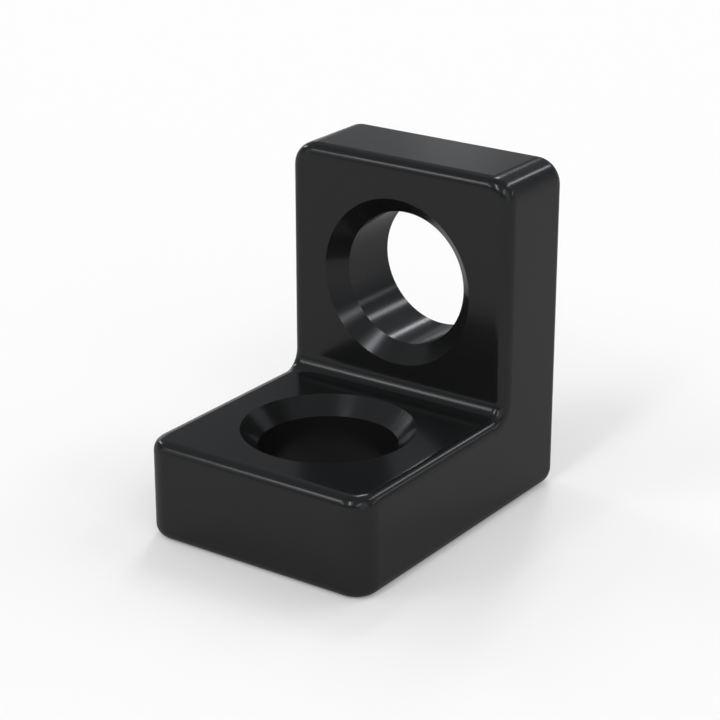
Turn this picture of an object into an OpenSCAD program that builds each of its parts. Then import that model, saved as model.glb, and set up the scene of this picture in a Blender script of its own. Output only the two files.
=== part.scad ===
// Moulded L-block: two legs of equal length and thickness meet at a square heel.
// Each leg has one straight bore with a lead-in at both mouths, and every edge is softened.

/* [Legs] */
// Width of the block, from side to side
block_w = 30.1; // [25:0.1:40]
// Length of the base leg, from its free end to the back of the upright
base_len = 40; // [39.5:0.5:60]
// Height of the upright leg, from the underside of the base to its top
upright_h = 40; // [39.5:0.5:60]
// Thickness of the base leg
base_t = 12; // [8:0.1:13]
// Thickness of the upright leg
upright_t = 12; // [8:0.1:13]

/* [Bores] */
// Diameter of the bore through each leg
bore_d = 16; // [10:0.1:17]
// Depth of the 45-degree lead-in at each mouth of a bore
lead_in = 2; // [0.5:0.1:2.5]
// Distance from a leg's free end to the centre of its bore
bore_inset = 14.6; // [13:0.1:15.5]

/* [Rounding] */
// Radius of the two corners at each leg's free end
corner_r = 3; // [2:0.1:6]
// Radius of the hollow where the legs meet on the inside
inside_r = 2; // [1:0.1:3]
// Radius of the bend where the underside meets the back
heel_r = 2; // [2:0.1:6]
// Radius of the soft edges round the faces of each leg
edge_r = 1.5; // [0.4:0.1:1.8]

/* [Hidden] */
half_w = block_w / 2;
bore_r = bore_d / 2;
// How far a cut reaches past the face that it starts from
cut_over = 0.5;
$fn = 120;

// Space between two square faces along +X and +Y and the arc that replaces their corner
module corner_space(r) difference() {
    translate([-cut_over, -cut_over]) square(r + cut_over);
    translate([r, r]) circle(r);
}

// Side view of the block, with the heel at the origin and the base leg along +X
module l_outline() difference() {
    union() {
        square([base_len, base_t]);
        square([upright_t, upright_h]);
        translate([upright_t, base_t]) corner_space(inside_r);
    }
    corner_space(heel_r);
}

// Softens the side edges and the end edge of a leg's face that lies on z = 0, with the leg
// above it; the side edges run along +Y from root to the rounded corners of the free end
module soften_face(root, leg_len) {
    corner_y = leg_len - corner_r;
    corner_x = half_w - corner_r;
    for (side = [0, 1]) mirror([side, 0, 0]) {
        translate([half_w, root, 0]) rotate([-90, 0, 0])
            linear_extrude(corner_y - root) rotate(180) corner_space(edge_r);
        translate([corner_x, corner_y, 0])
            rotate_extrude(angle = 90) translate([corner_r, 0]) mirror([1, 0]) corner_space(edge_r);
    }
    translate([-corner_x, leg_len, 0]) rotate([90, 0, 90])
        linear_extrude(2 * corner_x) mirror([1, 0]) corner_space(edge_r);
}

// Softens the two side edges of a bend about an axis along X; outward is 1 where the block
// lies inside the bend and 0 where it lies outside
module soften_bend(bend_r, outward) {
    for (side = [0, 1]) mirror([side, 0, 0])
        translate([half_w, 0, 0]) rotate([0, -90, 0]) rotate([0, 0, 180])
            rotate_extrude(angle = 90) translate([bend_r, 0]) mirror([outward, 0]) corner_space(edge_r);
}

// Straight bore along +Z through a leg of the given thickness, with a lead-in at each mouth
module bore(leg_t) {
    translate([0, 0, -cut_over]) cylinder(r = bore_r, h = leg_t + 2 * cut_over);
    for (mouth = [0, 1]) translate([0, 0, mouth * leg_t]) mirror([0, 0, mouth])
        translate([0, 0, -cut_over])
            cylinder(r1 = bore_r + lead_in + cut_over, r2 = bore_r, h = lead_in + cut_over);
}

// Everything cut from one leg: its outer face lies on z = 0, its inner face on z = leg_t,
// and it runs along +Y from the back of the other leg
module leg_cuts(leg_len, leg_t, other_t) {
    for (side = [0, 1]) mirror([side, 0, 0])
        translate([half_w, leg_len, -cut_over])
            linear_extrude(leg_t + 2 * cut_over) rotate(180) corner_space(corner_r);
    soften_face(heel_r, leg_len);
    translate([0, 0, leg_t]) mirror([0, 0, 1]) soften_face(other_t + inside_r, leg_len);
    translate([0, leg_len - bore_inset, 0]) bore(leg_t);
}

// The block with its heel on the X axis and the base leg along +Y
module block_from_heel() difference() {
    translate([-half_w, 0, 0]) rotate([90, 0, 90]) linear_extrude(block_w) l_outline();
    leg_cuts(base_len, base_t, upright_t);
    mirror([0, 1, -1]) leg_cuts(upright_h, upright_t, base_t);
    translate([0, heel_r, heel_r]) soften_bend(heel_r, 1);
    translate([0, upright_t + inside_r, base_t + inside_r]) soften_bend(inside_r, 0);
}

// The block as it stands: underside on z = 0, free end of the base towards -Y,
// origin in the middle of the footprint
module l_block() color([0.03, 0.03, 0.03])
    translate([0, base_len / 2, 0]) mirror([0, 1, 0]) block_from_heel();

l_block();
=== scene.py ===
import math
import bpy
import bmesh
from mathutils import Matrix, Vector

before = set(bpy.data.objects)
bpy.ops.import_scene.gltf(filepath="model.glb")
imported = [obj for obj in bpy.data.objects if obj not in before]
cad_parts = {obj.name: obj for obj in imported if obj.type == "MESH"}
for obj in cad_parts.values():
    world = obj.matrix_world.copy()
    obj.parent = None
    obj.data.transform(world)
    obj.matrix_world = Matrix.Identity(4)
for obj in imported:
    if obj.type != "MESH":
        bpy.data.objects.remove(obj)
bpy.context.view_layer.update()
print("stage: frame loaded")


def linearColour(hexCode):
    # the sRGB curve, from a hex value to the linear one that shaders and lamps take
    parts = [int(hexCode[i:i + 2], 16) / 255 for i in (1, 3, 5)]
    return [c / 12.92 if c <= 0.04045 else ((c + 0.055) / 1.055) ** 2.4 for c in parts] + [1.0]


def addNode(tree, kind, settings={}, links={}):
    # a setting goes to the node's own property if it has one by that name, else to its input socket
    node = tree.nodes.new(kind)
    for name, value in settings.items():
        if isinstance(name, str) and hasattr(node, name):
            setattr(node, name, value)
        else:
            node.inputs[name].default_value = value
    for name, source in links.items():
        tree.links.new(source, node.inputs[name])
    return node


# Black moulded ABS from a polished mould: a deep black body that scatters little, under the glossy
# skin that the mould leaves; the skin is a coat because its mirror image is weaker than a full one
absBlack = {
    "body": "#171717",
    "bodyRoughness": 0.5,
    "skin": 0.30,            # share of a full coat's reflection
    "skinIor": 1.65,
    "roughness": 0.16,
    "roughnessSpread": 0.01,
    "patchSize": 0.005,      # m, patches where the mould's polish differs a little
    "waveSize": 0.012,       # m, sink and flow marks across a wall
    "waveHeight": 0.000002,  # m
}


def makeMouldedAbs(spec):
    mat = bpy.data.materials.new("mouldedAbsBlack")
    mat.use_nodes = True
    tree = mat.node_tree
    tree.nodes.clear()
    place = addNode(tree, "ShaderNodeTexCoord")
    patch = addNode(tree, "ShaderNodeTexNoise", {"Scale": 1 / spec["patchSize"], "Detail": 2.0},
                    {"Vector": place.outputs["Object"]})
    low, high = spec["roughness"] - spec["roughnessSpread"], spec["roughness"] + spec["roughnessSpread"]
    rough = addNode(tree, "ShaderNodeMapRange", {"To Min": low, "To Max": high},
                    {"Value": patch.outputs["Fac"]})
    wave = addNode(tree, "ShaderNodeTexNoise", {"Scale": 1 / spec["waveSize"], "Detail": 1.0},
                   {"Vector": place.outputs["Object"]})
    bump = addNode(tree, "ShaderNodeBump", {"Strength": 1.0, "Distance": spec["waveHeight"]},
                   {"Height": wave.outputs["Fac"]})
    shader = addNode(tree, "ShaderNodeBsdfPrincipled",
                     {"Base Color": linearColour(spec["body"]), "Roughness": spec["bodyRoughness"],
                      "Specular IOR Level": 0.0, "Coat Weight": spec["skin"], "Coat IOR": spec["skinIor"]},
                     {"Coat Roughness": rough.outputs["Result"], "Coat Normal": bump.outputs["Normal"]})
    addNode(tree, "ShaderNodeOutputMaterial", {}, {"Surface": shader.outputs["BSDF"]})
    return mat


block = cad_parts["l_block"]
absMaterial = makeMouldedAbs(absBlack)
for slot in block.material_slots:
    slot.material = absMaterial
print("stage: block finished")

# Matt white studio floor, which keeps the block's shadow; its lift is the share of white that the
# camera and the block's gloss see on top of the light that falls on it; both came out of the lamps' fit
studioFloor = {
    "width": 6.0,       # m
    "colour": "#d6d2ce",
    "lift": 0.175,
}


def makeFloorPaint(spec):
    mat = bpy.data.materials.new("studioFloorPaint")
    mat.use_nodes = True
    tree = mat.node_tree
    tree.nodes.clear()
    matt = addNode(tree, "ShaderNodeBsdfDiffuse", {"Color": linearColour(spec["colour"])})
    rays = addNode(tree, "ShaderNodeLightPath")
    mirrored = addNode(tree, "ShaderNodeMath", {"operation": "MAXIMUM"},
                       {0: rays.outputs["Is Glossy Ray"], 1: rays.outputs["Is Transmission Ray"]})
    seen = addNode(tree, "ShaderNodeMath", {"operation": "MAXIMUM"},
                   {0: rays.outputs["Is Camera Ray"], 1: mirrored.outputs[0]})
    lift = addNode(tree, "ShaderNodeMath", {"operation": "MULTIPLY", 1: spec["lift"]},
                   {0: seen.outputs[0]})
    glow = addNode(tree, "ShaderNodeEmission", {}, {"Strength": lift.outputs[0]})
    both = addNode(tree, "ShaderNodeAddShader", {}, {0: matt.outputs[0], 1: glow.outputs[0]})
    addNode(tree, "ShaderNodeOutputMaterial", {}, {"Surface": both.outputs[0]})
    return mat


floorMesh = bpy.data.meshes.new("studioFloor")
form = bmesh.new()
bmesh.ops.create_grid(form, x_segments=1, y_segments=1, size=studioFloor["width"] / 2)
form.to_mesh(floorMesh)
form.free()
floorMesh.materials.append(makeFloorPaint(studioFloor))
floor = bpy.data.objects.new("studioFloor", floorMesh)
bpy.context.scene.collection.objects.link(floor)
print("stage: floor laid")

# Light tent with tubes and lit cloth around it. Separate programs fitted its panels and dome to the
# photograph's reflections and floor shadow, and the values were then rounded; only backBar was widened
# afterwards. Azimuth 0 is behind the block and 90 on its right, in degrees seen from the block; width and
# height are the angles that a panel covers, turn leans it, and glow is its radiance
studio = {
    "centre": (0.0, 0.0, 0.02),
    "distance": 3.0,         # m
    "tint": "#f1f7ff",       # daylight tubes, a little cool
    "domeTint": "#f8fbff",   # the same light after the tent's cloth
    "tubeGlow": 2.0,         # a panel with more glow than this is a tube, with less it is cloth
    "dome": [(0, 1.02), (8, 0.75), (16, 0.55), (20, 0.15), (30, 0.57), (45, 0.59), (65, 0.44),
             (90, 0.31)],    # elevation in degrees, and glow there
    "panels": {
        "backHigh": {"azimuth": -25, "elevation": 49, "width": 23, "height": 7.5, "turn": 111, "glow": 13.3},
        "backBar": {"azimuth": 9.5, "elevation": 30.5, "width": 2.5, "height": 16.5, "turn": -54,
                    "glow": 8.2},
        "backSpot": {"azimuth": -20.5, "elevation": 33, "width": 2.5, "height": 5, "turn": -32,
                     "glow": 19.8},
        "backPatch": {"azimuth": -21.5, "elevation": 30, "width": 7, "height": 13, "turn": -16,
                      "glow": 0.72},
        "backLow": {"azimuth": -32.2, "elevation": 15, "width": 11.1, "height": 6.6, "turn": 0,
                    "glow": 0.42},
        "backGleam": {"azimuth": -32.3, "elevation": 15, "width": 2.1, "height": 6.6, "turn": 0,
                      "glow": 0.59},
        "backLeftLow": {"azimuth": -53.5, "elevation": 1, "width": 29.5, "height": 39, "turn": -2,
                        "glow": 1.65},
        "backRight": {"azimuth": 30.5, "elevation": 43.5, "width": 35, "height": 5, "turn": 35,
                      "glow": 7.5},
        "backRightLow": {"azimuth": 52.5, "elevation": 23, "width": 38.5, "height": 4.5, "turn": -4,
                         "glow": 3.66},
        "backCloth": {"azimuth": 0.5, "elevation": 46, "width": 66, "height": 52, "turn": -6, "glow": 0.08},
        "left": {"azimuth": -79, "elevation": 25, "width": 5, "height": 20, "turn": 44, "glow": 14.2},
        "rightCloth": {"azimuth": 114.5, "elevation": 30, "width": 36.5, "height": 42.5, "turn": -24,
                       "glow": 0.99},
        "frontRight": {"azimuth": 132, "elevation": 40, "width": 5, "height": 29.5, "turn": 39,
                       "glow": 6.7},
        "frontHigh": {"azimuth": 178, "elevation": 46.5, "width": 6.5, "height": 27.5, "turn": -12,
                      "glow": 13},
        "frontCloth": {"azimuth": 179, "elevation": 52.5, "width": 16.5, "height": 22, "turn": -12,
                       "glow": 1.36},
        "frontTop": {"azimuth": -172.5, "elevation": 63.5, "width": 39, "height": 4, "turn": -19,
                     "glow": 0.33},
        "frontLeftBar": {"azimuth": -145.5, "elevation": 35, "width": 25, "height": 4, "turn": 38,
                         "glow": 7.9},
        "frontLeftSpot": {"azimuth": -137.5, "elevation": 36.5, "width": 5.5, "height": 4.5, "turn": 17,
                          "glow": 6},
        "frontLeftCloth": {"azimuth": -135, "elevation": 28.5, "width": 34.5, "height": 21.5, "turn": -65,
                           "glow": 0.92},
        "topCloth": {"azimuth": -7.5, "elevation": 78.5, "width": 61, "height": 29, "turn": 51,
                     "glow": 0.17},
    },
}


def hangPanel(name, panel, rig):
    azimuth, elevation = math.radians(panel["azimuth"]), math.radians(panel["elevation"])
    outward = Vector((math.sin(azimuth) * math.cos(elevation),
                      math.cos(azimuth) * math.cos(elevation), math.sin(elevation)))
    lamp = bpy.data.lights.new(name, "AREA")
    lamp.shape = "RECTANGLE"
    lamp.size = 2 * rig["distance"] * math.tan(math.radians(panel["width"]) / 2)
    lamp.size_y = 2 * rig["distance"] * math.tan(math.radians(panel["height"]) / 2)
    lamp.energy = panel["glow"] * math.pi * lamp.size * lamp.size_y
    lamp.color = linearColour(rig["tint"] if panel["glow"] > rig["tubeGlow"] else rig["domeTint"])[:3]
    holder = bpy.data.objects.new(name, lamp)
    aim = (-outward).to_track_quat("-Z", "Y").to_matrix().to_4x4()
    lean = Matrix.Rotation(math.radians(-panel["turn"]), 4, "Z")
    holder.matrix_world = Matrix.Translation(Vector(rig["centre"]) + outward * rig["distance"]) @ aim @ lean
    bpy.context.scene.collection.objects.link(holder)


for panelName, panelSpec in studio["panels"].items():
    hangPanel(panelName, panelSpec, studio)


def makeDome(spec):
    world = bpy.data.worlds.new("studioDome")
    world.use_nodes = True
    tree = world.node_tree
    tree.nodes.clear()
    way = addNode(tree, "ShaderNodeTexCoord")
    parts = addNode(tree, "ShaderNodeSeparateXYZ", {}, {0: way.outputs["Generated"]})
    ramp = addNode(tree, "ShaderNodeValToRGB", {}, {0: parts.outputs["Z"]})
    stops = ramp.color_ramp.elements
    while len(stops) < len(spec["dome"]):
        stops.new(0.5)
    for stop, (elevation, glow) in zip(stops, spec["dome"]):
        stop.position = math.sin(math.radians(elevation))
        stop.color = [glow * part for part in linearColour(spec["domeTint"])[:3]] + [1.0]
    air = addNode(tree, "ShaderNodeBackground", {"Strength": 1.0}, {"Color": ramp.outputs["Color"]})
    addNode(tree, "ShaderNodeOutputWorld", {}, {"Surface": air.outputs[0]})
    return world


bpy.context.scene.world = makeDome(studio)
print("stage: lights hung")

# Camera at the photograph's viewing angle, for a 720 x 720 frame; a separate program fitted it to the
# block's outline, inner edges and bore rims
view = {
    "azimuth": 35.080,       # degrees from straight in front, towards the right
    "elevation": 21.423,
    "place": (0.135571, -0.192202, 0.110703),  # m
    "focalPixels": 2221.7,
    "framePixels": 720,
    "sensor": 36.0,          # mm
    "nearest": 0.01,         # m
    "farthest": 20.0,        # m
}
lens = bpy.data.cameras.new("photoCamera")
lens.sensor_width = view["sensor"]
lens.lens = view["focalPixels"] / view["framePixels"] * view["sensor"]
lens.clip_start, lens.clip_end = view["nearest"], view["farthest"]
camera = bpy.data.objects.new("photoCamera", lens)
camera.location = view["place"]
camera.rotation_euler = (math.radians(90 - view["elevation"]), 0, math.radians(view["azimuth"]))
bpy.context.scene.collection.objects.link(camera)
bpy.context.scene.camera = camera
bpy.context.scene.view_settings.view_transform = "Standard"
print("stage: camera set")
